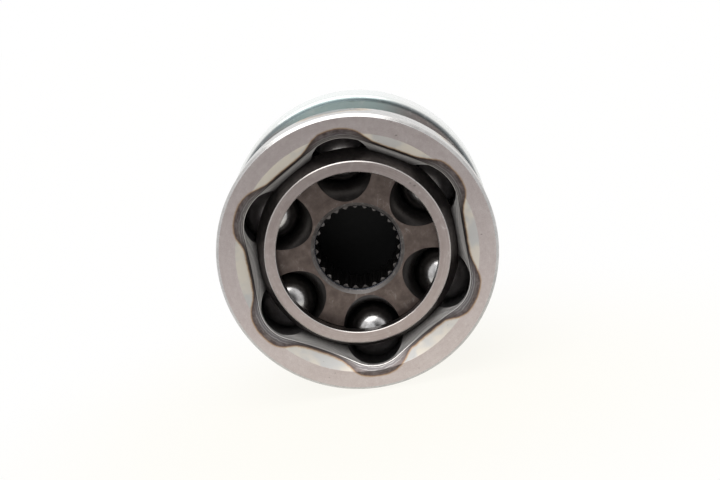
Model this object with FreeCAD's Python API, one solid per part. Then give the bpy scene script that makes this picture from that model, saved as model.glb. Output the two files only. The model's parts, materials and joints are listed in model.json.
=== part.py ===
import FreeCAD, Part
import math
import os

# Fixed-ball constant-velocity joint, wheel end. Sizes are in millimetres.
# The origin is the centre of articulation. The axis lies along Y: the open mouth faces -Y,
# the splined stub points to +Y, and ball_1 stands straight above the axis.

# articulation, balls and the tracks they roll in
tilt_limit = 45.0  # degrees each way between shaft and stub
ball_count = 6
ball_diameter = 17.4625  # 11/16 inch bearing ball
pitch_radius = 28.5  # ball centres from the axis
track_offset = 3.0  # track centres ahead of and behind the joint centre
track_clearance = 0.15
track_spare = 2.0  # degrees that a track runs on past its ball's last place
track_runout = 68.0  # degrees from rest to where a track has left through the mouth

# cage
cage_outside = 3.8  # outer sphere beyond the ball centres
cage_wall = 4.8
cage_half_width = 16.2
cage_rim = 3.3  # width of the flat ring at each end
cage_edge = 0.2
window_clearance = 0.14
window_length = 20.5
window_corner = 3.0

# inner race, its shaft spline and the snap ring
sphere_clearance = 0.15
race_half_width = 10.0
race_edge = 0.5
shaft_teeth = 27
shaft_root_radius = 13.2
shaft_tooth = 1.0
shaft_lead_in = 1.1  # chamfer beyond the tooth roots
ring_wire = 1.2
ring_clearance = 0.15
ring_depth = 1.8  # front face to the middle of the ring
ring_gap = 40.0  # degrees between the ring's ends

# mouth of the outer race
mouth_lip = 2.2  # mouth face ahead of the cage
mouth_chamfer = 4.2
lead_angle = 35.0  # steeper lead-in behind the chamfer, from the axis
lead_depth = 4.6
star_rise = 3.0  # how far the star's lobes reach beyond its straight sides
star_inset = 0.4  # at its deep end the star lies this far inside the tracks

# bell of the outer race
track_wall = 3.16  # steel outside the tracks
collar_rise = 1.65
collar_length = 13.5
collar_edge = 0.9
neck_step = 0.6
bell_straight = 4.0  # end of the bell's straight part, behind the joint centre
bell_taper = 5.8  # how far the bell draws in before the shield
floor_clearance = 0.85  # cavity floor behind the fully tilted cage

# dust shield and its seat
seat_drop = 1.9  # the seat below the bell's tapered end
seat_length = 6.5
shield_sheet = 1.3
shield_width = 10.0  # rim beyond the seat
shield_depth = 14.0
shield_bend = 2.4
shield_hub = 5.0
press_depth = 0.03

# bearing shoulder and stub
back_length = 5.0
back_drop = 3.5
back_edge = 0.8
relief_radius = 1.6
journal_radius = 15.0
journal_length = 8.0
journal_edge = 1.4
hub_teeth = 26
hub_tip_radius = 14.3
hub_tooth = 1.1
hub_spline_length = 48.0
thread_radius = 12.0
thread_length = 24.0
thread_groove = 3.0
groove_drop = 1.2
centre_radius = 3.2
centre_depth = 5.0

# share of one tooth pitch taken by the flat at the tip and at the root
tip_share = 0.24
root_share = 0.14

along = FreeCAD.Vector(0, 1, 0)
joint_centre = FreeCAD.Vector(0, 0, 0)

ball_radius = ball_diameter / 2
track_radius = ball_radius + track_clearance
track_arm = math.hypot(pitch_radius, track_offset)
rest_angle = math.degrees(math.asin(track_offset / track_arm))
track_swing = tilt_limit / 2 + track_spare

cage_outer_radius = pitch_radius + cage_outside
cage_inner_radius = cage_outer_radius - cage_wall
cage_rim_radius = math.sqrt(cage_outer_radius ** 2 - cage_half_width ** 2)
cage_bore_radius = cage_rim_radius - cage_rim
race_radius = cage_inner_radius - sphere_clearance
land_radius = cage_outer_radius + sphere_clearance

mouth_place = -cage_half_width - mouth_lip
lead_radius = cage_outer_radius
mouth_radius = lead_radius + mouth_chamfer
lead_place = mouth_place + mouth_chamfer
neck_radius = track_arm + track_radius + track_wall
collar_radius = neck_radius + collar_rise
collar_end = mouth_place + collar_length
cage_reach = math.asin(cage_half_width / cage_outer_radius) + math.radians(tilt_limit / 2)
floor_place = cage_outer_radius * math.sin(cage_reach) + floor_clearance

bell_end_radius = neck_radius - bell_taper
seat_radius = bell_end_radius - seat_drop
seat_end = floor_place + seat_length
shield_radius = seat_radius + shield_width
back_radius = seat_radius - back_drop
back_place = seat_end + back_length
hub_root_radius = hub_tip_radius - hub_tooth
shaft_tip_radius = shaft_root_radius - shaft_tooth


def at(y, r):
    """Point at distance r above the axis, y along it."""
    return FreeCAD.Vector(0, y, r)


def turned(points):
    """Solid of revolution about the joint's axis; a point may be a pair or an arc's (middle, end)."""
    edges = []
    start = at(*points[0])
    for step in points[1:]:
        if isinstance(step[0], tuple):
            middle = at(*step[0])
            end = at(*step[1])
            edges.append(Part.Arc(start, middle, end).toShape())
        else:
            end = at(*step)
            edges.append(Part.LineSegment(start, end).toShape())
        start = end
    edges.append(Part.LineSegment(start, at(*points[0])).toShape())
    return Part.Face(Part.Wire(edges)).revolve(joint_centre, along, 360)


def round_about(shape, count):
    """Copies of a shape, evenly spaced about the axis."""
    copies = []
    for index in range(count):
        copy = shape.copy()
        copy.rotate(joint_centre, along, index * 360 / count)
        copies.append(copy)
    return copies


def on_sphere(radius, y):
    """Distance from the axis of a point of a centred sphere."""
    return math.sqrt(radius ** 2 - y ** 2)


def sphere_side(radius, y_from, y_to):
    """Arc step along a centred sphere, for a turned profile."""
    middle = (y_from + y_to) / 2
    return ((middle, on_sphere(radius, middle)), (y_to, on_sphere(radius, y_to)))


def toothed_bar(teeth, root, tip, y_from, y_to):
    """Straight bar along the axis whose outline alternates between the two radii."""
    pitch = 2 * math.pi / teeth
    corners = []
    for index in range(teeth):
        middle = index * pitch
        half_tip = pitch * tip_share / 2
        half_gap = pitch * (1 - root_share) / 2
        for radius, angle in ((root, -half_gap), (tip, -half_tip), (tip, half_tip), (root, half_gap)):
            turn = middle + angle
            corners.append(FreeCAD.Vector(radius * math.sin(turn), y_from, radius * math.cos(turn)))
    corners.append(corners[0])
    return Part.Face(Part.makePolygon(corners)).extrude(along * (y_to - y_from))


def ball_track():
    """Room that one ball needs in the outer race, with a round rear end."""
    centre = at(-track_offset, 0)
    rear = math.radians(rest_angle + track_swing)
    place = at(-track_offset + track_arm * math.sin(rear), track_arm * math.cos(rear))
    heading = at(-math.cos(rear), math.sin(rear))
    ring = Part.Face(Part.Wire(Part.makeCircle(track_radius, place, heading)))
    path = ring.revolve(centre, FreeCAD.Vector(1, 0, 0), rest_angle + track_swing + track_runout)
    return path.fuse(Part.makeSphere(track_radius, place))


def star_section(place, side, centre, lobe):
    """Outline of the mouth at one depth: straight sides at a distance from the axis, a round lobe at each track.
    centre is the lobes' own distance from the axis, lobe their radius."""
    half_step = math.pi / ball_count
    foot = side - centre * math.cos(half_step)
    chord = math.sqrt(max(0, lobe ** 2 - foot ** 2))
    out = centre + foot * math.cos(half_step) - chord * math.sin(half_step)
    aside = foot * math.sin(half_step) + chord * math.cos(half_step)

    def spot(index, out, aside):
        angle = 2 * half_step * index
        x = out * math.sin(angle) + aside * math.cos(angle)
        z = out * math.cos(angle) - aside * math.sin(angle)
        return FreeCAD.Vector(x, place, z)

    edges = []
    for index in range(ball_count):
        start = spot(index, out, -aside)
        crest = spot(index, centre + lobe, 0)
        end = spot(index, out, aside)
        edges.append(Part.Arc(start, crest, end).toShape())
        edges.append(Part.LineSegment(end, spot(index + 1, out, -aside)).toShape())
    return Part.Wire(edges)


def mouth_star():
    """Star-shaped opening behind the chamfer: upright walls first, then the lead-in down to the seat."""
    front = lead_place - star_rise - star_inset
    rear = lead_place + lead_depth
    crest = lead_radius + star_rise
    centre = (crest - lead_radius) / (1 - math.cos(math.pi / ball_count))
    rear_side = lead_radius - lead_depth * math.tan(math.radians(lead_angle))
    rear_centre = math.sqrt(track_arm ** 2 - (rear + track_offset) ** 2) - star_inset
    walls = [star_section(place, lead_radius, centre, crest - centre) for place in (front, lead_place)]
    lead = star_section(rear, rear_side, rear_centre, track_radius - star_inset)
    return Part.makeLoft(walls + [lead], True, True)


def bell_cavity():
    """Spherical seat of the cage with its flat floor, and the chamfer at the mouth."""
    seat = turned([
        (lead_place, 0),
        (lead_place, on_sphere(land_radius, lead_place)),
        sphere_side(land_radius, lead_place, floor_place),
        (floor_place, 0),
    ])
    deep = lead_depth + mouth_chamfer
    front = mouth_place - collar_edge
    chamfer = Part.makeCone(mouth_radius + collar_edge, mouth_radius - deep, deep + collar_edge, at(front, 0), along)
    return seat.fuse([chamfer, mouth_star()])


def stub_profile():
    """Outline from the shield's seat to the end of the threaded stub."""
    spline_start = back_place + journal_length
    groove_start = spline_start + hub_spline_length
    thread_start = groove_start + thread_groove
    thread_end = thread_start + thread_length
    groove_radius = thread_radius - groove_drop
    foot = journal_radius + relief_radius
    bend = relief_radius * (1 - math.sqrt(0.5))
    return [
        (seat_end - back_edge, seat_radius),
        (seat_end, seat_radius - back_edge),
        (seat_end, back_radius),
        (back_place - back_edge, back_radius),
        (back_place, back_radius - back_edge),
        (back_place, foot),
        ((back_place + bend, journal_radius + bend), (back_place + relief_radius, journal_radius)),
        (spline_start - journal_edge, journal_radius),
        (spline_start, hub_root_radius),
        (groove_start, hub_root_radius),
        (groove_start + groove_drop, groove_radius),
        (thread_start - groove_drop, groove_radius),
        (thread_start, thread_radius),
        (thread_end - groove_drop, thread_radius),
        (thread_end, thread_radius - groove_drop),
        (thread_end, centre_radius),
        (thread_end - centre_depth, 0),
    ]


def hub_spline():
    """Teeth of the stub, chamfered at both ends."""
    start = back_place + journal_length - journal_edge
    end = back_place + journal_length + hub_spline_length
    teeth = toothed_bar(hub_teeth, hub_root_radius, hub_tip_radius, start, end)
    envelope = turned([
        (start, 0),
        (start, hub_tip_radius),
        (end - hub_tooth, hub_tip_radius),
        (end, hub_root_radius),
        (end, 0),
    ])
    return teeth.common(envelope)


def make_outer_race():
    taper = floor_place - bell_straight
    bow = (taper ** 2 + bell_taper ** 2) / (2 * bell_taper)
    half = math.asin(taper / bow) / 2
    taper_middle = (bell_straight + bow * math.sin(half), neck_radius - bow * (1 - math.cos(half)))
    outline = [
        (mouth_place, 0),
        (mouth_place, collar_radius - collar_edge),
        (mouth_place + collar_edge, collar_radius),
        (collar_end - neck_step, collar_radius),
        (collar_end, neck_radius),
        (bell_straight, neck_radius),
        (taper_middle, (floor_place, bell_end_radius)),
        (floor_place, seat_radius),
    ]
    bell = turned(outline + stub_profile())
    bell = bell.fuse(hub_spline())
    return bell.cut(bell_cavity().fuse(round_about(ball_track(), ball_count)))


def make_dust_shield():
    bore = seat_radius - press_depth
    back = floor_place + shield_sheet
    rim_end = floor_place + shield_depth
    hub_end = floor_place + shield_hub
    inner_bend = shield_bend - shield_sheet
    corner = shield_radius - shield_bend
    throw = math.sqrt(0.5)
    return turned([
        (floor_place, bore),
        (floor_place, corner),
        ((floor_place + shield_bend * (1 - throw), corner + shield_bend * throw),
         (floor_place + shield_bend, shield_radius)),
        (rim_end, shield_radius),
        (rim_end, shield_radius - shield_sheet),
        (floor_place + shield_bend, shield_radius - shield_sheet),
        ((floor_place + shield_bend - inner_bend * throw, corner + inner_bend * throw),
         (back, corner)),
        (back, bore + shield_sheet),
        (hub_end, bore + shield_sheet),
        (hub_end, bore),
    ])


def make_cage():
    lip = math.sqrt(cage_inner_radius ** 2 - cage_bore_radius ** 2)
    side = cage_half_width - cage_edge
    ring = turned([
        (-cage_half_width, cage_bore_radius + cage_edge),
        (-cage_half_width, cage_rim_radius - cage_edge),
        (-side, on_sphere(cage_outer_radius, side)),
        sphere_side(cage_outer_radius, -side, side),
        (cage_half_width, cage_rim_radius - cage_edge),
        (cage_half_width, cage_bore_radius + cage_edge),
        (side, cage_bore_radius),
        (lip, cage_bore_radius),
        ((0, cage_inner_radius), (-lip, cage_bore_radius)),
        (-side, cage_bore_radius),
    ])
    window = rounded_slot(window_length, ball_diameter + 2 * window_clearance, window_corner)
    return ring.cut(round_about(window, ball_count))


def rounded_slot(length, width, corner):
    """Block with rounded corners, standing on the axis and pointing up."""
    block = Part.makeBox(length, width, cage_outer_radius, FreeCAD.Vector(-length / 2, -width / 2, 0))
    upright = [edge for edge in block.Edges if abs(edge.tangentAt(edge.FirstParameter).z) > 0.5]
    slot = block.makeFillet(corner, upright)
    slot.translate(at(0, cage_bore_radius / 2))
    return slot


def make_inner_race():
    rim = on_sphere(race_radius, race_half_width)
    side = race_half_width - race_edge
    mouth = shaft_root_radius + shaft_lead_in
    body = turned([
        (-race_half_width, mouth),
        (-race_half_width, rim - race_edge),
        (-side, on_sphere(race_radius, side)),
        sphere_side(race_radius, -side, side),
        (race_half_width, rim - race_edge),
        (race_half_width, mouth),
        (race_half_width - mouth + shaft_tip_radius, shaft_tip_radius),
        (-race_half_width + mouth - shaft_tip_radius, shaft_tip_radius),
    ])
    gaps = toothed_bar(shaft_teeth, shaft_tip_radius, shaft_root_radius, -race_half_width, race_half_width)
    centre = at(track_offset, 0)
    tori = []
    for index in range(ball_count):
        torus = Part.makeTorus(track_arm, track_radius, centre, FreeCAD.Vector(1, 0, 0))
        torus.rotate(centre, along, index * 360 / ball_count)
        tori.append(torus)
    return body.cut([gaps, ring_groove()] + tori[:ball_count // 2])


def ring_circle():
    """Radius of the middle of the snap ring's wire, which rests in the groove past the teeth."""
    return shaft_root_radius + ring_wire / 4


def ring_groove():
    middle = -race_half_width + ring_depth
    half = ring_wire / 2 + ring_clearance
    deep = ring_circle() + half
    return turned([(middle - half, 0), (middle - half, deep), (middle + half, deep), (middle + half, 0)])


def make_snap_ring():
    place = at(-race_half_width + ring_depth, 0)
    return Part.makeTorus(ring_circle(), ring_wire / 2, place, along, -180, 180, 360 - ring_gap)


def make_ball(index):
    ball = Part.makeSphere(ball_radius, at(0, pitch_radius), along)
    ball.rotate(joint_centre, along, index * 360 / ball_count)
    return ball


def main():
    nodes = {
        "outer_race": make_outer_race(),
        "dust_shield": make_dust_shield(),
        "cage": make_cage(),
        "inner_race": make_inner_race(),
        "shaft_snap_ring": make_snap_ring(),
    }
    for index in range(ball_count):
        nodes["ball_" + str(index + 1)] = make_ball(index)
    os.makedirs("parts", exist_ok=True)
    for name, shape in nodes.items():
        shape.exportStep("parts/" + name + ".step")
        print(name, len(shape.Solids), "solid", round(shape.Volume), "mm3", shape.isValid())


main()
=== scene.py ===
import json
import math
import bmesh
import bpy
from mathutils import Matrix, Vector


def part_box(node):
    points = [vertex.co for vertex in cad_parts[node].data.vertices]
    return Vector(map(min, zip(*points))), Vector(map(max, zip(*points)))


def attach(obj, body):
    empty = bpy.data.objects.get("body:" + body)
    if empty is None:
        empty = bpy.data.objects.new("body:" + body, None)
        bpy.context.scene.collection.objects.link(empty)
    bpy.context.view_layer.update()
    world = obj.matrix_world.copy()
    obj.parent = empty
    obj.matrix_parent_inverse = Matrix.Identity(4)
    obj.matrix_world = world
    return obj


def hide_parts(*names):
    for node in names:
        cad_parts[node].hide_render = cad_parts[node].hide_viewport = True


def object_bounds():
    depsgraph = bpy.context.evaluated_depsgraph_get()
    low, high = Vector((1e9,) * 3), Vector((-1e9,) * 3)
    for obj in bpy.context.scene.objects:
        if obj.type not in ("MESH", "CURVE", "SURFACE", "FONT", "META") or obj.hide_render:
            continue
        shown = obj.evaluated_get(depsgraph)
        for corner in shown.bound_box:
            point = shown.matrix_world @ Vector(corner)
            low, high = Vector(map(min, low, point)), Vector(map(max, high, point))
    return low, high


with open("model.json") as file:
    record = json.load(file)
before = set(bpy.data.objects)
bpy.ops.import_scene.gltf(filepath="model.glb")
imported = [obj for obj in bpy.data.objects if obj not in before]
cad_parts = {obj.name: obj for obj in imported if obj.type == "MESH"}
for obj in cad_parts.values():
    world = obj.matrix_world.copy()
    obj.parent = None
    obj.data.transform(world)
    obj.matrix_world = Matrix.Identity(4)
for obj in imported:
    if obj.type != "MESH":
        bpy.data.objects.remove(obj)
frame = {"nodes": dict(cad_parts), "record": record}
cadLow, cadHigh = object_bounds()
print("stage: frame loaded,", len(frame["nodes"]), "nodes")

mm = 0.001
halfGap = math.pi / 6        # half the angle from one ball track to the next
sharpAngle = 28.0            # edges sharper than this, in degrees, stay sharp
weldDistance = 0.002 * mm
raceLow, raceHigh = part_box("outer_race")
shieldLow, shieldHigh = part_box("dust_shield")
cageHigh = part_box("cage")[1]
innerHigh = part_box("inner_race")[1]
mouthY, tipY = raceLow.y, raceHigh.y
collarRadius = raceHigh.x
floorZ = cadLow.z


def addObject(name, data):
    made = bpy.data.objects.new(name, data)
    bpy.context.scene.collection.objects.link(made)
    return made


cameraSetup = {
    "distance": 0.4,     # to the middle of the mouth
    "above": 13.1,       # degrees over the joint's axis
    "aside": 0.64,       # degrees to the right of it
    "roll": 10.5,        # degrees the camera leans about the axis
    "aimUp": 0.637,      # the mouth sits a little low and left of the middle
    "aimRight": 0.115,
    "lens": 67.0,
    "sensor": 36.0,
    "nearest": 0.01,
}


def placeCamera(setup):
    roll, above, aside = (math.radians(setup[key]) for key in ("roll", "above", "aside"))
    up = Vector((math.sin(roll), 0, math.cos(roll)))
    right = Vector((math.cos(roll), 0, -math.sin(roll)))
    front = Vector((0, -1, 0)) * math.cos(above) * math.cos(aside)
    back = (front + up * math.sin(above) + right * math.sin(aside)).normalized()
    aim = -back
    side = aim.cross(up).normalized()
    lift = side.cross(aim)
    aimUp, aimRight = (math.tan(math.radians(setup[key])) for key in ("aimUp", "aimRight"))
    aim = (aim + lift * aimUp + side * aimRight).normalized()
    side = aim.cross(up).normalized()
    lift = side.cross(aim)
    data = bpy.data.cameras.new("camera")
    data.lens = setup["lens"]
    data.sensor_width = setup["sensor"]
    data.clip_start = setup["nearest"]
    camera = addObject("camera", data)
    place = Matrix.Translation(Vector((0, mouthY, 0)) + back * setup["distance"])
    camera.matrix_world = place @ Matrix((side, lift, -aim)).transposed().to_4x4()
    bpy.context.scene.camera = camera


placeCamera(cameraSetup)
print("stage: camera placed")


def feed(tree, node, inputs):
    # another node's output is linked, anything else becomes the input's own value
    for key, value in inputs.items():
        socket = node.inputs[key]
        if isinstance(value, bpy.types.NodeSocket):
            tree.links.new(value, socket)
        elif socket.type == "RGBA":
            socket.default_value = (*value, 1)
        else:
            socket.default_value = value


def addNode(tree, kind, inputs=None, **settings):
    made = tree.nodes.new(kind)
    for key, value in settings.items():
        setattr(made, key, value)
    feed(tree, made, inputs or {})
    return made


def maths(tree, operation, *values):
    inputs = dict(enumerate(values))
    return addNode(tree, "ShaderNodeMath", inputs, operation=operation).outputs[0]


def plus(tree, first, second):
    return maths(tree, "ADD", first, second)


def minus(tree, first, second):
    return maths(tree, "SUBTRACT", first, second)


def times(tree, first, second):
    return maths(tree, "MULTIPLY", first, second)


def diagonal(tree, first, second):
    return maths(tree, "SQRT", plus(tree, times(tree, first, first), times(tree, second, second)))


def weigh(tree, *pairs):
    # sum of values times their weights
    total = None
    for value, weight in pairs:
        part = times(tree, value, weight)
        total = part if total is None else plus(tree, total, part)
    return total


def vectorMaths(tree, operation, first, second):
    inputs = {0: first, 1: second}
    return addNode(tree, "ShaderNodeVectorMath", inputs, operation=operation).outputs[0]


def mixColour(tree, factor, first, second):
    inputs = {0: factor, 6: first, 7: second}
    return addNode(tree, "ShaderNodeMix", inputs, data_type="RGBA").outputs[2]


def mixNumber(tree, factor, first, second):
    inputs = {0: factor, 2: first, 3: second}
    return addNode(tree, "ShaderNodeMix", inputs, data_type="FLOAT").outputs[0]


def layOver(tree, colour, mask, share, over):
    # a second colour over the first where the mask is, at its share
    return mixColour(tree, times(tree, mask, share), colour, over)


def mapRange(tree, value, band, toLow=0.0, toHigh=1.0, kind="SMOOTHSTEP"):
    low, high = band
    inputs = {"Value": value, "From Min": low, "From Max": high, "To Min": toLow, "To Max": toHigh}
    return addNode(tree, "ShaderNodeMapRange", inputs, interpolation_type=kind).outputs[0]


def fadeOut(tree, value, band, full=1.0):
    # full before the band and nothing past it
    return mapRange(tree, value, band, full, 0.0)


def blendTo(tree, value, low, high):
    return mapRange(tree, value, (0.0, 1.0), low, high, "LINEAR")


def addNoise(tree, vector, scale, detail, roughness=0.5):
    inputs = {"Vector": vector, "Scale": scale, "Detail": detail, "Roughness": roughness}
    return addNode(tree, "ShaderNodeTexNoise", inputs).outputs[0]


def swing(tree, noise, size):
    # a noise of 0 to 1 turned into one of plus or minus half the size
    return times(tree, minus(tree, noise, 0.5), size)


def bandFrom(start, band):
    # a band in millimetres, counted from a place that is in metres
    return [start / mm + step for step in band]


def newGroup(name, inputs, outputs):
    group = bpy.data.node_groups.new(name, "ShaderNodeTree")
    for title, value in inputs.items():
        socket = group.interface.new_socket(
            name=title, in_out="INPUT", socket_type="NodeSocketFloat")
        socket.default_value = value
    for title, kind in outputs.items():
        group.interface.new_socket(name=title, in_out="OUTPUT", socket_type="NodeSocket" + kind)
    return group, group.nodes.new("NodeGroupInput").outputs


def giveOut(group, values):
    feed(group, group.nodes.new("NodeGroupOutput"), values)
    return group


def useGroup(tree, group, **inputs):
    return addNode(tree, "ShaderNodeGroup", inputs, node_tree=group).outputs


def makeAxisPlaces():
    # a point's place about the joint's axis, in millimetres, and its angle from the nearest track
    group = newGroup("axisPlaces", {}, {
        "Radius": "Float", "Along": "Float", "Fold": "Float", "Around": "Vector", "Place": "Vector",
    })[0]
    coord = addNode(group, "ShaderNodeTexCoord")
    place = vectorMaths(group, "MULTIPLY", coord.outputs["Object"], (1 / mm, 1 / mm, 1 / mm))
    x, y, z = addNode(group, "ShaderNodeSeparateXYZ", {0: place}).outputs
    radius = diagonal(group, x, z)
    turn = plus(group, maths(group, "ARCTAN2", x, z), 2 * math.pi)
    safe = maths(group, "MAXIMUM", radius, 0.01)
    sides = [maths(group, "DIVIDE", value, safe) for value in (x, z)]
    around = addNode(group, "ShaderNodeCombineXYZ", {0: sides[0], 1: y, 2: sides[1]})
    return giveOut(group, {
        "Radius": radius,
        "Along": y,
        "Fold": maths(group, "PINGPONG", turn, halfGap),
        "Around": around.outputs[0],
        "Place": place,
    })


axisPlaces = makeAxisPlaces()


ringMarks = {
    "slant": 1.37,       # how fast the rings follow each other along the axis
    "broadness": 0.12,   # scale of the broad rings to the fine ones
}


def makeTurnedLines():
    # fine rings left by turning or grinding, one line's width given in millimetres
    group, given = newGroup(
        "turnedLines", {"Line": 0.15, "Drift": 1.5}, {"Lines": "Float", "Broad": "Float"})
    places = useGroup(group, axisPlaces)
    x, _, z = addNode(group, "ShaderNodeSeparateXYZ", {0: places["Around"]}).outputs
    across = plus(group, places["Radius"], times(group, places["Along"], ringMarks["slant"]))
    fine = maths(group, "DIVIDE", across, given["Line"])
    broad = times(group, fine, ringMarks["broadness"])
    sideX, sideZ = times(group, x, given["Drift"]), times(group, z, given["Drift"])
    vectors = [
        addNode(group, "ShaderNodeCombineXYZ", {0: sideX, 1: step, 2: sideZ}).outputs[0]
        for step in (fine, broad)
    ]
    return giveOut(group, {
        "Lines": addNoise(group, vectors[0], 1.0, 3.0, 0.6),
        "Broad": addNoise(group, vectors[1], 1.0, 2.0),
    })


handMarks = {
    "mottleScale": 0.55,
    "bendScale": 0.13,        # how quickly a scratch bends
    "scratches": (            # the turn of each set, and its stretch
        (0.6, (0.035, 1.4, 0.9)),
        (2.1, (0.05, 1.1, 1.6)),
        (1.35, (0.028, 1.9, 1.2)),
    ),
    "scratchBand": (0.0, 0.012),
    "scratchPatches": (0.5, 0.62),
    "nickStretch": (1.0, 1.0, 1.7),
    "nickScale": 0.3,
    "nickPatchScale": 0.09,
    "nickBand": (-0.07, -0.01),
}


def makeHandling():
    # mottling, hairline scratches and small dark nicks
    look = handMarks
    group, given = newGroup(
        "handling", {"Size": 1.0, "Seed": 0.0},
        {"Mottle": "Float", "Scratch": "Float", "Nick": "Float"})
    places = useGroup(group, axisPlaces)
    scaled = addNode(group, "ShaderNodeVectorMath", {
        0: places["Place"],
        "Scale": maths(group, "DIVIDE", 1.0, given["Size"]),
    }, operation="SCALE").outputs[0]
    mottle = addNode(group, "ShaderNodeTexNoise", {
        "Vector": scaled,
        "W": given["Seed"],
        "Scale": look["mottleScale"],
        "Detail": 6.0,
        "Roughness": 0.62,
    }, noise_dimensions="4D").outputs[0]
    bent = addNode(group, "ShaderNodeTexNoise", {
        "Vector": scaled, "Scale": look["bendScale"], "Detail": 2.0}).outputs["Color"]
    shifted = vectorMaths(group, "ADD", scaled, bent)
    found = None
    for turn, stretch in look["scratches"]:
        turned = addNode(group, "ShaderNodeVectorRotate", {
            0: shifted, "Angle": turn}, rotation_type="Y_AXIS").outputs[0]
        noise = addNoise(group, vectorMaths(group, "MULTIPLY", turned, stretch), 1.0, 1.0, 0.4)
        line = maths(group, "ABSOLUTE", minus(group, noise, 0.5))
        line = fadeOut(group, line, look["scratchBand"])
        found = line if found is None else maths(group, "MAXIMUM", found, line)
    cells = addNode(group, "ShaderNodeTexVoronoi", {
        "Vector": vectorMaths(group, "MULTIPLY", shifted, look["nickStretch"]),
        "Scale": look["nickScale"],
        "Randomness": 1.0,
    })
    spread = swing(group, addNoise(group, scaled, look["nickPatchScale"], 1.0), 0.9)
    near = minus(group, cells.outputs["Distance"], spread)
    return giveOut(group, {
        "Mottle": mottle,
        "Scratch": times(group, found, mapRange(group, mottle, look["scratchPatches"])),
        "Nick": fadeOut(group, near, look["nickBand"]),
    })


mouthStar = {
    "Corner Centre": 22.39,    # millimetres from the axis
    "Corner Radius": 12.91,
    "Side": 32.3,
}
landBand = (0.12, 0.35)        # from a ball track to the wall between two, as an angle


def makeStarReach():
    # how many millimetres a point of the mouth lies outside the star of six round corners
    group, given = newGroup("starReach", mouthStar, {"Outside": "Float", "Near Land": "Float"})
    places = useGroup(group, axisPlaces)
    sideways = times(group, places["Radius"], maths(group, "SINE", places["Fold"]))
    outwards = times(group, places["Radius"], maths(group, "COSINE", places["Fold"]))
    beyond = minus(group, outwards, given["Corner Centre"])
    corner = minus(group, diagonal(group, sideways, beyond), given["Corner Radius"])
    along = weigh(group, (outwards, math.cos(halfGap)), (sideways, math.sin(halfGap)))
    side = minus(group, along, given["Side"])
    limit = times(group, beyond, math.tan(halfGap))
    atCorner = maths(group, "GREATER_THAN", limit, sideways)
    return giveOut(group, {
        "Outside": mixNumber(group, atCorner, side, corner),
        "Near Land": mapRange(group, places["Fold"], landBand),
    })


turnedLines = makeTurnedLines()
handling = makeHandling()
starReach = makeStarReach()
print("stage: shared effects made")


def newMaterial(name, metallic=1.0, roughness=0.3):
    material = bpy.data.materials.new(name)
    material.use_nodes = True
    tree = material.node_tree
    tree.nodes.clear()
    shader = addNode(tree, "ShaderNodeBsdfPrincipled", {
        "Metallic": metallic, "Roughness": roughness})
    addNode(tree, "ShaderNodeOutputMaterial", {"Surface": shader.outputs[0]})
    return material, tree, shader


def addBump(tree, shader, depth, *pairs):
    # depth is the height of the relief in millimetres
    made = addNode(tree, "ShaderNodeBump", {
        "Height": weigh(tree, *pairs), "Distance": depth * mm, "Strength": 1.0})
    feed(tree, shader, {"Normal": made.outputs[0]})


turnedFinish = {
    "collar": {
        "dark": (0.43, 0.425, 0.42), "light": (0.67, 0.655, 0.64),
        "line": 0.16, "rough": 0.26, "relief": 0.004},
    "stub": {
        "dark": (0.40, 0.39, 0.38), "light": (0.62, 0.60, 0.58),
        "line": 0.22, "rough": 0.3, "relief": 0.005},
    "thread": {
        "dark": (0.34, 0.33, 0.32), "light": (0.55, 0.53, 0.51),
        "line": 0.3, "rough": 0.32, "relief": 0.003},
    "cage": {
        "dark": (0.40, 0.33, 0.308), "light": (0.515, 0.45, 0.43),
        "line": 0.25, "rough": 0.32, "relief": 0.002},
    "cageEdge": {
        "dark": (0.4, 0.375, 0.36), "light": (0.52, 0.49, 0.475),
        "line": 0.2, "rough": 0.24, "relief": 0.002},
    "chamfer": {
        "dark": (0.07, 0.062, 0.059), "light": (0.17, 0.156, 0.15),
        "line": 0.2, "rough": 0.4, "relief": 0.002, "metal": 0.45},
}
turnedMarks = {
    "toneBand": (0.42, 0.88),
    "scratch": (0.85, 0.83, 0.81),
    "nick": (0.1, 0.09, 0.085),
    "seedStep": 1.7,             # moves the pattern from one finish to the next
    "roughSwing": 0.15,          # roughness that the marks add on average
    "frontEdge": (0.4, 1.1),     # the collar is darker this close to the mouth, in millimetres
    "frontShade": (0.2, 0.2, 0.21),
}
heatPatch = {
    "front": 5.6,        # where the patches start behind the mouth, in millimetres
    "rear": 12.4,        # where their full colour ends
    "fade": 2.0,         # half of the length over which they fade past it
    "halfWidth": 0.27,   # as an angle either side of a track
    "teal": (0.13, 0.175, 0.185),
    "brown": (0.27, 0.18, 0.12),
    "straw": (0.56, 0.43, 0.24),
    "rings": (           # each colour's band, from the middle of the patch out, and its share
        ("straw", (0.75, 1.15), 0.7),
        ("brown", (0.65, 0.95), 0.75),
        ("teal", (0.4, 0.8), 0.85),
    ),
}


def addHeatPatches(tree, colour):
    # hardening has coloured the collar above each track, straw and brown round a dark teal
    look = heatPatch
    places = useGroup(tree, axisPlaces)
    waver = addNoise(tree, places["Place"], 0.28, 5.0, 0.65)
    middle = mouthY / mm + (look["front"] + look["rear"]) / 2 + look["fade"]
    halfLength = (look["rear"] - look["front"]) / 2 + look["fade"]
    alongShare = maths(tree, "DIVIDE", minus(tree, places["Along"], middle), halfLength)
    turnShare = maths(tree, "DIVIDE", places["Fold"], look["halfWidth"])
    reachOut = plus(tree, diagonal(tree, alongShare, turnShare), swing(tree, waver, 0.9))
    for tint, band, share in look["rings"]:
        colour = mixColour(tree, fadeOut(tree, reachOut, band, share), colour, look[tint])
    return colour


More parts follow.
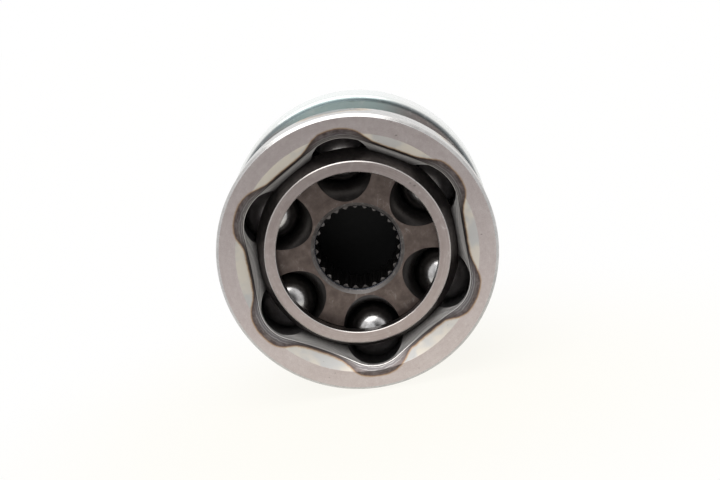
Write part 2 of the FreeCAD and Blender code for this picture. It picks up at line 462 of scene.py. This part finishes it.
def turnedSteel(name):
    look, marks = turnedFinish[name], turnedMarks
    material, tree, shader = newMaterial(name + "Steel", metallic=look.get("metal", 1.0))
    lines = useGroup(tree, turnedLines, Line=look["line"], Drift=1.3)
    wear = useGroup(tree, handling, Size=1.0, Seed=len(name) * marks["seedStep"])
    tone = weigh(tree, (lines["Lines"], 0.5), (lines["Broad"], 0.35), (wear["Mottle"], 0.45))
    tone = mapRange(tree, tone, marks["toneBand"])
    colour = mixColour(tree, tone, look["dark"], look["light"])
    colour = layOver(tree, colour, wear["Scratch"], 0.35, marks["scratch"])
    colour = layOver(tree, colour, wear["Nick"], 0.5, marks["nick"])
    if name == "collar":
        colour = addHeatPatches(tree, colour)
        places = useGroup(tree, axisPlaces)
        front = fadeOut(tree, places["Along"], bandFrom(mouthY, marks["frontEdge"]), 0.2)
        colour = mixColour(tree, front, colour, marks["frontShade"])
    rough = weigh(tree, (lines["Lines"], 0.14), (wear["Mottle"], 0.2))
    rough = plus(tree, rough, look["rough"] - marks["roughSwing"])
    feed(tree, shader, {"Base Color": colour, "Roughness": rough})
    addBump(tree, shader, look["relief"],
            (lines["Lines"], 1.0), (wear["Scratch"], -0.5), (wear["Nick"], -1.2))
    return material


mouthFinish = {
    "faceDark": (0.51, 0.435, 0.42),
    "faceLight": (0.655, 0.59, 0.572),
    "scratch": (0.72, 0.67, 0.64),
    "nick": (0.1, 0.08, 0.07),
    "cream": (0.68, 0.64, 0.555),
    "pale": (0.52, 0.53, 0.52),
    "gold": (0.42, 0.27, 0.13),
    "brown": (0.175, 0.103, 0.073),
    "umber": (0.1, 0.078, 0.074),
    "worn": (0.19, 0.16, 0.155),
    "shade": (0.055, 0.048, 0.047),
    "grey": (0.17, 0.163, 0.167),
    "seam": (0.035, 0.03, 0.03),
    # colour of the painted highlight along the star's corner, also used for the bright ripples
    "edge": (0.62, 0.6, 0.58),
    "faceMetal": 0.95,
    "coneMetal": 0.4,
    "rough": 0.2,
    "relief": 0.006,
    "rim": 5.85,         # width of the flat face, in millimetres as all below
    "coneBand": (-0.1, 0.05),
    "lobeWidth": 2.9,    # how wide the heat stain is over a track, and then between two
    "landWidth": 0.95,
    "waver": 0.7,
    "goldBand": (0.1, 0.6),
    "brownBand": (-0.1, 0.22),
    "umberBand": (-0.35, 0.0),
    "seamBand": (0.22, 0.5),
    # band of the painted highlight along the corner
    "glintBand": (0.1, 0.24),
}


def paleFace(tree, wear, lines, grain, onCone, place):
    # the flat face with the pale cone inside it
    look = mouthFinish
    tone = weigh(
        tree, (wear["Mottle"], 0.4), (grain, 0.6), (lines["Broad"], 0.25), (lines["Lines"], 0.15))
    face = mixColour(tree, mapRange(tree, tone, (0.45, 0.95)), look["faceDark"], look["faceLight"])
    face = layOver(tree, face, wear["Scratch"], 0.35, look["scratch"])
    patch = mapRange(tree, addNoise(tree, place, 0.14, 2.0), (0.4, 0.6))
    face = layOver(tree, face, onCone, 0.8, mixColour(tree, patch, look["cream"], look["pale"]))
    return layOver(tree, face, wear["Nick"], 0.45, look["nick"])


def mouthSteel():
    look = mouthFinish
    material, tree, shader = newMaterial("mouthSteel")
    places = useGroup(tree, axisPlaces)
    place = places["Place"]
    star = useGroup(tree, starReach)
    onLand = star["Near Land"]
    lines = useGroup(tree, turnedLines, Line=0.35, Drift=4.0)
    wear = useGroup(tree, handling, Size=0.7, Seed=3.1)
    grain = addNoise(tree, place, 3.2, 3.0, 0.7)
    coneBand = bandFrom(collarRadius - look["rim"] * mm, look["coneBand"])
    onCone = fadeOut(tree, places["Radius"], coneBand)
    colour = paleFace(tree, wear, lines, grain, onCone, place)
    # heat stain that follows the star: gold outside, then brown, then umber, with painted shade
    # over the walls between tracks
    width = blendTo(tree, onLand, look["lobeWidth"], look["landWidth"])
    waver = swing(tree, addNoise(tree, place, 0.3, 5.0, 0.6), look["waver"])
    outside = plus(tree, star["Outside"], waver)
    past = minus(tree, outside, width)
    gold, brown, umber = (
        fadeOut(tree, past, look[band]) for band in ("goldBand", "brownBand", "umberBand"))
    strength = blendTo(tree, onCone, 0.85, 0.9)
    fleck = mapRange(tree, grain, (0.35, 0.65), 0.55, 1.0)
    colour = layOver(tree, colour, times(tree, gold, fleck), strength, look["gold"])
    colour = layOver(tree, colour, brown, strength, look["brown"])
    worn = mapRange(tree, wear["Mottle"], (0.35, 0.7))
    deepStainAndShade = mixColour(tree, worn, look["umber"], look["worn"])
    # painted shade: between tracks the deep stain goes near black
    deepStainAndShade = layOver(tree, deepStainAndShade, onLand, 0.8, look["shade"])
    colour = mixColour(tree, umber, colour, deepStainAndShade)
    # grey middle of the stain, with bright ripples over the tracks
    middle = fadeOut(tree, maths(tree, "DIVIDE", outside, width), (0.25, 0.8))
    colour = layOver(tree, colour, middle, blendTo(tree, onLand, 0.75, 0.2), look["grey"])
    ripple = weigh(tree, (star["Outside"], 9.0), (addNoise(tree, place, 0.5, 2.0), 7.0))
    ridge = mapRange(tree, maths(tree, "SINE", ripple), (0.55, 1.0))
    onLobe = times(tree, times(tree, minus(tree, 1.0, onLand), middle), 0.4)
    colour = layOver(tree, colour, ridge, onLobe, look["edge"])
    # dark seam at the walls, and a painted highlight along their corner
    seam = fadeOut(tree, star["Outside"], look["seamBand"])
    colour = layOver(tree, colour, seam, 0.6, look["seam"])
    # painted highlight: a bright line right at the corner of the walls
    edge = fadeOut(tree, star["Outside"], look["glintBand"])
    colour = mixColour(tree, edge, colour, look["edge"])
    cleanCone = minus(tree, onCone, times(tree, onCone, brown))
    rough = weigh(
        tree, (wear["Mottle"], 0.2), (grain, 0.15), (cleanCone, 0.12), (wear["Scratch"], -0.1))
    feed(tree, shader, {
        "Base Color": colour,
        "Metallic": blendTo(tree, cleanCone, look["faceMetal"], look["coneMetal"]),
        "Roughness": plus(tree, rough, look["rough"]),
    })
    addBump(tree, shader, look["relief"],
            (lines["Lines"], 0.5), (grain, 0.5), (wear["Scratch"], -0.4), (wear["Nick"], -2.5))
    return material


leadFinish = {
    "light": (0.74, 0.725, 0.71),
    "dark": (0.085, 0.08, 0.079),
    "streak": (0.1, 0.09, 0.088),
    "shadeDepth": (5.3, 8.3),     # painted shade deepens over these millimetres behind the mouth
    "metal": 0.5,
    "rough": 0.2,
    "relief": 0.004,
}


def leadSteel():
    # walls and lead-in of the star, with painted light and shade: bright at the front and dark
    # towards the seat
    look = leadFinish
    material, tree, shader = newMaterial("leadSteel", metallic=look["metal"])
    places = useGroup(tree, axisPlaces)
    wear = useGroup(tree, handling, Size=0.7, Seed=6.4)
    lines = useGroup(tree, turnedLines, Line=0.45, Drift=1.0)
    depth = plus(tree, places["Along"], times(tree, wear["Mottle"], 1.2))
    # painted shade: the walls go dark deeper into the mouth
    deepShade = mapRange(tree, depth, bandFrom(mouthY, look["shadeDepth"]))
    colour = mixColour(tree, deepShade, look["light"], look["dark"])
    streak = mapRange(tree, lines["Lines"], (0.35, 0.65))
    colour = layOver(tree, colour, streak, 0.35, look["streak"])
    rough = weigh(tree, (wear["Mottle"], 0.25), (lines["Lines"], 0.1))
    feed(tree, shader, {"Base Color": colour, "Roughness": plus(tree, rough, look["rough"])})
    addBump(tree, shader, look["relief"], (lines["Lines"], 1.0), (wear["Mottle"], 0.5))
    return material


darkFinish = {
    "track": {
        "dark": (0.17, 0.16, 0.162), "light": (0.24, 0.228, 0.23),
        "metal": 0.65, "rough": 0.3, "relief": 0.0015, "wear": 0.06},
    "star": {
        "dark": (0.085, 0.063, 0.055), "light": (0.17, 0.132, 0.115),
        "metal": 0.7, "rough": 0.34, "relief": 0.004, "wear": 0.35, "size": 1.9},
    "groove": {
        "dark": (0.06, 0.054, 0.052), "light": (0.1, 0.092, 0.088),
        "metal": 0.8, "rough": 0.3, "relief": 0.0015, "wear": 0.1},
    # the bore's teeth: dark steel, made near black with painted shade
    "teeth": {
        "dark": (0.02, 0.018, 0.018), "light": (0.045, 0.042, 0.041),
        "metal": 0.8, "rough": 0.34, "relief": 0.003, "wear": 0.08},
    # the hollow's floor seen through the bore: near-black painted shade
    "floor": {
        "dark": (0.006, 0.005, 0.005), "light": (0.012, 0.011, 0.011),
        "metal": 0.2, "rough": 0.55, "relief": 0.01, "wear": 0.0},
    "bell": {
        "dark": (0.13, 0.124, 0.123), "light": (0.21, 0.204, 0.2),
        "metal": 0.85, "rough": 0.42, "relief": 0.03, "wear": 0.3},
    "cageSide": {
        "dark": (0.07, 0.06, 0.058), "light": (0.13, 0.115, 0.11),
        "metal": 0.85, "rough": 0.32, "relief": 0.002, "wear": 0.15},
}
darkMarks = {
    "toneBand": (0.35, 0.95),
    "scratch": (0.4, 0.37, 0.35),
    "nick": (0.3, 0.27, 0.25),
    "size": 0.9,
    "seedStep": 2.3,
    "roughSwing": 0.07,
}


def darkSteel(name):
    look, marks = darkFinish[name], darkMarks
    material, tree, shader = newMaterial(name + "Steel", metallic=look["metal"])
    lines = useGroup(tree, turnedLines, Line=0.6, Drift=2.0)
    size, seed = look.get("size", marks["size"]), len(name) * marks["seedStep"]
    wear = useGroup(tree, handling, Size=size, Seed=seed)
    tone = weigh(tree, (wear["Mottle"], 1.1), (lines["Lines"], 0.15))
    tone = mapRange(tree, tone, marks["toneBand"])
    colour = mixColour(tree, tone, look["dark"], look["light"])
    colour = layOver(tree, colour, wear["Scratch"], look["wear"], marks["scratch"])
    colour = layOver(tree, colour, wear["Nick"], look["wear"], marks["nick"])
    rough = weigh(tree, (wear["Mottle"], 0.14), (wear["Scratch"], -0.05))
    rough = plus(tree, rough, look["rough"] - marks["roughSwing"])
    feed(tree, shader, {"Base Color": colour, "Roughness": rough})
    addBump(tree, shader, look["relief"],
            (wear["Mottle"], 1.0), (lines["Lines"], 0.4), (wear["Nick"], -0.8))
    return material


plateFinish = {
    "blue": (0.55, 0.69, 0.68),
    "pink": (0.44, 0.39, 0.38),
    "bright": (0.76, 0.79, 0.78),
    "rim": (0.88, 0.9, 0.89),
    # painted shade in the shield's front bend
    "bend": (0.1, 0.135, 0.145),
    "scratch": (0.85, 0.86, 0.85),
    "metal": 0.6,
    "rough": 0.12,
    "relief": 0.006,
    "pinkBand": (15.0, 30.0),    # sideways from the axis, in millimetres
    "rimBand": (-1.6, -0.4),     # from the shield's outer edge
    "bendIn": (-2.5, -1.7),
    "bendOut": (-1.2, -0.5),
    "bendFront": (2.2, 3.0),     # from the shield's front
}


def platedSteel():
    look = plateFinish
    material, tree, shader = newMaterial("platedSteel", metallic=look["metal"])
    places = useGroup(tree, axisPlaces)
    wear = useGroup(tree, handling, Size=1.6, Seed=8.0)
    x = addNode(tree, "ShaderNodeSeparateXYZ", {0: places["Place"]}).outputs[0]
    sideways = plus(tree, maths(tree, "ABSOLUTE", x), times(tree, wear["Mottle"], 8.0))
    colour = mixColour(tree, mapRange(tree, sideways, look["pinkBand"]), look["blue"], look["pink"])
    bright = mapRange(tree, wear["Mottle"], (0.5, 0.75), 0.0, 0.35)
    colour = mixColour(tree, bright, colour, look["bright"])
    rim = mapRange(tree, places["Radius"], bandFrom(shieldHigh.x, look["rimBand"]))
    colour = layOver(tree, colour, rim, 0.85, look["rim"])
    # painted shade: a dark band where the shield's front bends round
    bendIn = mapRange(tree, places["Radius"], bandFrom(shieldHigh.x, look["bendIn"]))
    bendOut = fadeOut(tree, places["Radius"], bandFrom(shieldHigh.x, look["bendOut"]))
    inFront = fadeOut(tree, places["Along"], bandFrom(shieldLow.y, look["bendFront"]))
    bend = times(tree, times(tree, bendIn, bendOut), inFront)
    colour = layOver(tree, colour, bend, 0.75, look["bend"])
    colour = layOver(tree, colour, wear["Scratch"], 0.3, look["scratch"])
    rough = plus(tree, times(tree, wear["Mottle"], 0.2), look["rough"])
    feed(tree, shader, {"Base Color": colour, "Roughness": rough})
    addBump(tree, shader, look["relief"], (wear["Mottle"], 1.0), (wear["Scratch"], -0.5))
    return material


ballFinish = {
    "clean": (0.5, 0.49, 0.488),
    "film": (0.42, 0.405, 0.397),
    "filmBand": (0.45, 0.7),
    "rough": 0.2,
    "filmRough": 0.05,
}


def ballSteel():
    look = ballFinish
    material, tree, shader = newMaterial("ballSteel")
    wear = useGroup(tree, handling, Size=0.7, Seed=5.0)
    film = mapRange(tree, wear["Mottle"], look["filmBand"])
    rough = plus(tree, times(tree, film, look["filmRough"]), look["rough"])
    colour = mixColour(tree, film, look["clean"], look["film"])
    feed(tree, shader, {"Base Color": colour, "Roughness": rough})
    return material


springFinish = {
    "blue": (0.03, 0.032, 0.04),
    "grey": (0.12, 0.12, 0.13),
    "greyBand": (0.4, 0.7),
    "rough": 0.15,
    "mottleRough": 0.25,
}


def springSteel():
    look = springFinish
    material, tree, shader = newMaterial("springSteel")
    wear = useGroup(tree, handling, Size=0.5, Seed=2.0)
    grey = mapRange(tree, wear["Mottle"], look["greyBand"])
    rough = plus(tree, times(tree, wear["Mottle"], look["mottleRough"]), look["rough"])
    colour = mixColour(tree, grey, look["blue"], look["grey"])
    feed(tree, shader, {"Base Color": colour, "Roughness": rough})
    return material


finishes = {name: turnedSteel(name) for name in turnedFinish}
finishes.update({name: darkSteel(name) for name in darkFinish})
finishes["mouth"] = mouthSteel()
finishes["lead"] = leadSteel()
finishes["plate"] = platedSteel()
finishes["ball"] = ballSteel()
finishes["spring"] = springSteel()
print("stage: finishes made,", len(finishes))


def finishPiece(bm, name, body, names, replaced=()):
    mesh = bpy.data.meshes.new(name)
    bm.to_mesh(mesh)
    bm.free()
    piece = addObject(name, mesh)
    for finish in names:
        mesh.materials.append(finishes[finish])
    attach(piece, body)
    if replaced:
        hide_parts(*replaced)


def shadeSmooth(bm, sharp=sharpAngle):
    # smooth faces, with the real edges kept sharp
    for face in bm.faces:
        face.smooth = True
    limit = math.radians(sharp)
    for edge in bm.edges:
        edge.smooth = edge.is_manifold and edge.calc_face_angle(0) < limit


def mergedCopy(nodeName, sharp=sharpAngle):
    # the node's loose triangles welded into one mesh
    bm = bmesh.new()
    bm.from_mesh(frame["nodes"][nodeName].data)
    bmesh.ops.remove_doubles(bm, verts=bm.verts, dist=weldDistance)
    for face in bm.faces:
        face.material_index = 0
    shadeSmooth(bm, sharp)
    return bm


def paintFaces(bm, names, choose):
    for face in bm.faces:
        face.material_index = names.index(choose(face))


def reach(point):
    return math.hypot(point.x, point.z)


def shrinkTo(vert, radius):
    share = radius / reach(vert.co)
    vert.co.x *= share
    vert.co.z *= share


hubThread = {
    "pitch": 1.5 * mm,
    "rootRadius": 11.05 * mm,
    "crest": 0.2 * mm,
    "foot": 0.47,            # half the ridge's foot, as a share of the pitch
    "sunk": 0.1 * mm,        # the foot lies this far under the roots
    "stepsPerTurn": 72,
    "chamfer": 1.2 * mm,
    "runOut": 0.9,           # share of the chamfer that the ridge runs past the end
    "tuck": 0.15 * mm,       # where it dies out, it sinks this far under the foot
    "slack": 0.05 * mm,
}
threadMount = next(row for row in frame["record"]["mounts"] if row["name"] == "hub_thread")
threadRadius = threadMount["dims"]["r_mm"] * mm
threadStart = 2 * threadMount["pos_m"][1] - tipY
threadEnd = tipY - hubThread["chamfer"]


def sinkThread(bm):
    # the plain cylinder shrinks to the roots, so that the ridge stands on it
    slack = hubThread["slack"]
    for vert in bm.verts:
        onLength = threadStart - slack < vert.co.y < threadEnd + slack
        if onLength and abs(reach(vert.co) - threadRadius) < slack:
            shrinkTo(vert, hubThread["rootRadius"])


def makeHubThread():
    pitch, root = hubThread["pitch"], hubThread["rootRadius"] - hubThread["sunk"]
    start = threadStart - hubThread["chamfer"]
    turns = (threadEnd + hubThread["chamfer"] * hubThread["runOut"] - start) / pitch
    steps = int(turns * hubThread["stepsPerTurn"])
    half, crest = pitch * hubThread["foot"], hubThread["crest"] / 2
    outline = ((-half, root), (-crest, threadRadius), (crest, threadRadius), (half, root))
    bm = bmesh.new()
    corners = [bm.verts.new((0, start + along, radius)) for along, radius in outline]
    profile = bm.faces.new(corners)
    bmesh.ops.spin(
        bm, geom=[profile] + list(profile.edges) + corners, cent=(0, 0, 0), axis=(0, 1, 0),
        dvec=(0, turns * pitch / steps, 0), angle=turns * 2 * math.pi, steps=steps,
        use_duplicate=False)
    for vert in bm.verts:
        # the ridge dies out in the chamfers at both ends
        past = max(vert.co.y - threadEnd, threadStart - vert.co.y, 0)
        allowed = max(threadRadius - past, root - hubThread["tuck"])
        if reach(vert.co) > allowed:
            shrinkTo(vert, allowed)
        vert.co.y = min(vert.co.y, tipY - hubThread["slack"])
    bmesh.ops.recalc_face_normals(bm, faces=bm.faces)
    shadeSmooth(bm)
    finishPiece(bm, "hubThread", "outer_race", ["thread"])


flat = 0.02 * mm                 # how far a flat face's middle may lie off its plane
bell = {
    "finishes": ["mouth", "collar", "track", "bell", "stub", "thread", "lead", "floor"],
    "mouthDepth": 9.3 * mm,      # the lead-in ends this far behind the mouth face
    "collarDepth": 13.5 * mm,
    "trackCentre": -3.0 * mm,    # along the axis, from the joint's centre
    "trackArm": 28.657 * mm,
    "trackRadius": 8.881 * mm,
    "seatRadius": 32.45 * mm,
    "coneSlack": 0.05 * mm,      # how far a face's middle may lie off each form
    "trackSlack": 0.08 * mm,
    "seatSlack": 0.1 * mm,
    "coneSlope": -0.6,
    "facingIn": 0.001 * mm,
    "hollowDepth": 0.3 * mm,     # the hollow reaches this far past the shield's front
}


def onTrack(point):
    # True on the six round grooves that the balls roll in
    turn = math.atan2(point.x, point.z)
    turn -= 2 * halfGap * round(turn / (2 * halfGap))
    out, side = reach(point) * math.cos(turn), reach(point) * math.sin(turn)
    arm = math.hypot(out, point.y - bell["trackCentre"]) - bell["trackArm"]
    return abs(math.hypot(arm, side) - bell["trackRadius"]) < bell["trackSlack"]


def onMouth(face, middle, outward):
    # True on the flat face and on the cone inside it
    coneRadius = collarRadius - mouthFinish["rim"] * mm - (middle.y - mouthY)
    nearCone = abs(reach(middle) - coneRadius) < bell["coneSlack"]
    onCone = outward < 0 and nearCone and face.normal.y < bell["coneSlope"]
    return middle.y < mouthY + flat or onCone


def bellFinish(face):
    middle = face.calc_center_median()
    outward = face.normal.x * middle.x + face.normal.z * middle.z
    if onMouth(face, middle, outward):
        return "mouth"
    if middle.y < shieldLow.y + bell["hollowDepth"] and outward < bell["facingIn"]:
        if abs(middle.y - shieldLow.y) < bell["seatSlack"]:
            # the hollow's floor behind the bore, painted near black as shade
            return "floor"
        if onTrack(middle) or abs(middle.length - bell["seatRadius"]) < bell["seatSlack"]:
            return "track"
        if middle.y < mouthY + bell["mouthDepth"]:
            return "lead"
    if middle.y < mouthY + bell["collarDepth"] + flat:
        return "collar"
    if middle.y < shieldLow.y:
        return "bell"
    return "stub" if middle.y < threadStart - hubThread["slack"] else "thread"


def makeOuterRace():
    bm = mergedCopy("outer_race")
    paintFaces(bm, bell["finishes"], bellFinish)
    sinkThread(bm)
    finishPiece(bm, "outerRace", "outer_race", bell["finishes"], ["outer_race"])


def makeDustShield():
    bm = mergedCopy("dust_shield")
    finishPiece(bm, "dustShield", "outer_race", ["plate"], ["dust_shield"])


cageRing = {
    "finishes": ["cage", "cageEdge", "cageSide"],
    "edge": 0.25 * mm,       # depth of the broken edge round each ring
}


def cageFinish(face):
    inside = cageHigh.y - abs(face.calc_center_median().y)
    if inside < flat:
        return "cage"
    return "cageEdge" if inside < cageRing["edge"] else "cageSide"


def makeCage():
    bm = mergedCopy("cage")
    paintFaces(bm, cageRing["finishes"], cageFinish)
    finishPiece(bm, "ballCage", "cage", cageRing["finishes"], ["cage"])


starRace = {
    "finishes": ["star", "groove", "chamfer", "teeth"],
    "boreRadius": 14.5 * mm,
    "leadRadius": 14.35 * mm,
    "leadDepth": 2.9 * mm,
    "leadSlope": 0.4,
}


def starFinish(face):
    middle = face.calc_center_median()
    radius, inside = reach(middle), innerHigh.y - abs(middle.y)
    sloped = abs(face.normal.y) > starRace["leadSlope"]
    if radius < starRace["leadRadius"] and sloped and inside < starRace["leadDepth"]:
        return "chamfer"
    if radius < starRace["boreRadius"]:
        return "teeth"
    return "star" if inside < flat else "groove"


def makeInnerRace():
    bm = mergedCopy("inner_race")
    paintFaces(bm, starRace["finishes"], starFinish)
    finishPiece(bm, "innerRace", "inner_race", starRace["finishes"], ["inner_race"])


def makeSnapRing():
    bm = mergedCopy("shaft_snap_ring")
    finishPiece(bm, "snapRing", "inner_race", ["spring"], ["shaft_snap_ring"])


ballSet = {"count": 6, "sharp": 60}


def makeBalls():
    for index in range(1, ballSet["count"] + 1):
        name = "ball_%d" % index
        bm = mergedCopy(name, ballSet["sharp"])
        finishPiece(bm, "ball%d" % index, name, ["ball"], [name])


makeOuterRace()
makeHubThread()
makeDustShield()
makeCage()
makeInnerRace()
makeSnapRing()
makeBalls()
print("stage: pieces made")


tableSetup = {
    "radius": 4.0,
    "segments": 96,
    "gap": 0.0002,               # under the part
    "colour": (0.93, 0.92, 0.895),
    "rough": 0.7,
    "seen": 0.92,                # share of plain white that the camera sees
    "fadeBand": (-0.45, -0.03),  # in reflections the table fades out in front of the part
    "farShare": 0.35,
    "foot": -0.03,               # where the part stands, along the axis
    "footShadowBand": (0.02, 0.16),
    # painted shadow: warm tint of the table round the part's foot
    "footShadowTint": (1.0, 0.985, 0.93),
}


def mirroredIn(tree, path):
    # metal and glass see the white surroundings too
    return maths(tree, "MAXIMUM", path["Is Glossy Ray"], path["Is Transmission Ray"])


def paleFloor(setup):
    material, tree, shader = newMaterial("paleFloor", metallic=0.0, roughness=setup["rough"])
    feed(tree, shader, {"Base Color": setup["colour"]})
    path = addNode(tree, "ShaderNodeLightPath").outputs
    place = addNode(tree, "ShaderNodeTexCoord").outputs["Object"]
    x, y = addNode(tree, "ShaderNodeSeparateXYZ", {0: place}).outputs[:2]
    nearBy = mapRange(tree, y, setup["fadeBand"], setup["farShare"], 1.0)
    away = diagonal(tree, x, plus(tree, y, -setup["foot"]))
    # painted shadow: a faint warm tint on the table round the part's foot
    tint = fadeOut(tree, away, setup["footShadowBand"])
    white = addNode(tree, "ShaderNodeEmission", {
        "Color": mixColour(tree, tint, (1, 1, 1), setup["footShadowTint"]),
        "Strength": maths(tree, "MAXIMUM", path["Is Camera Ray"], nearBy),
    })
    shown = times(tree, path["Is Camera Ray"], setup["seen"])
    seen = maths(tree, "MAXIMUM", shown, mirroredIn(tree, path))
    mixed = addNode(tree, "ShaderNodeMixShader", {
        0: seen, 1: shader.outputs[0], 2: white.outputs[0]})
    feed(tree, tree.nodes["Material Output"], {"Surface": mixed.outputs[0]})
    return material


def makeFloor(setup):
    bm = bmesh.new()
    bmesh.ops.create_circle(
        bm, cap_ends=True, segments=setup["segments"], radius=setup["radius"])
    bmesh.ops.translate(bm, verts=bm.verts, vec=(0, 0, floorZ - setup["gap"]))
    mesh = bpy.data.meshes.new("floor")
    bm.to_mesh(mesh)
    bm.free()
    floor = addObject("floor", mesh)
    mesh.materials.append(paleFloor(setup))


worldSetup = {
    "ambient": 0.5,
    "white": 1.0,
    "dark": 0.04,
    "roomSide": (0.0, -1.0, 0.06),    # the room behind the camera is dark, the tent is white
    "tentBand": (0.6, 0.9),
}


def makeWorld(setup):
    world = bpy.data.worlds.new("studio")
    bpy.context.scene.world = world
    world.use_nodes = True
    tree = world.node_tree
    tree.nodes.clear()
    path = addNode(tree, "ShaderNodeLightPath").outputs
    coord = addNode(tree, "ShaderNodeTexCoord")
    front = addNode(tree, "ShaderNodeVectorMath", {
        0: coord.outputs["Generated"], 1: setup["roomSide"]}, operation="DOT_PRODUCT")
    tent = mapRange(
        tree, front.outputs["Value"], setup["tentBand"], setup["white"], setup["dark"])
    light = mixNumber(tree, mirroredIn(tree, path), setup["ambient"], tent)
    strength = mixNumber(tree, path["Is Camera Ray"], light, setup["white"])
    back = addNode(tree, "ShaderNodeBackground", {"Color": (1, 1, 1), "Strength": strength})
    addNode(tree, "ShaderNodeOutputWorld", {"Surface": back.outputs[0]})


lamps = {
    "overhead": {
        "aim": (0.1, 0.25, -1.0), "spread": 60, "strength": 1.75, "colour": (1.0, 0.99, 0.97)},
    "frontFill": {
        "aim": (0.25, 1.0, -0.45), "spread": 40, "strength": 0.35, "colour": (0.97, 0.985, 1.0)},
}


def makeLamps():
    for name, setup in lamps.items():
        data = bpy.data.lights.new(name, "SUN")
        data.angle = math.radians(setup["spread"])
        data.energy = setup["strength"]
        data.color = setup["colour"]
        lamp = addObject(name, data)
        lamp.rotation_mode = "QUATERNION"
        lamp.rotation_quaternion = Vector(setup["aim"]).to_track_quat("-Z", "Y")


makeFloor(tableSetup)
makeWorld(worldSetup)
makeLamps()
bpy.context.scene.view_settings.view_transform = "Standard"
print("stage: floor, world and lamps made")
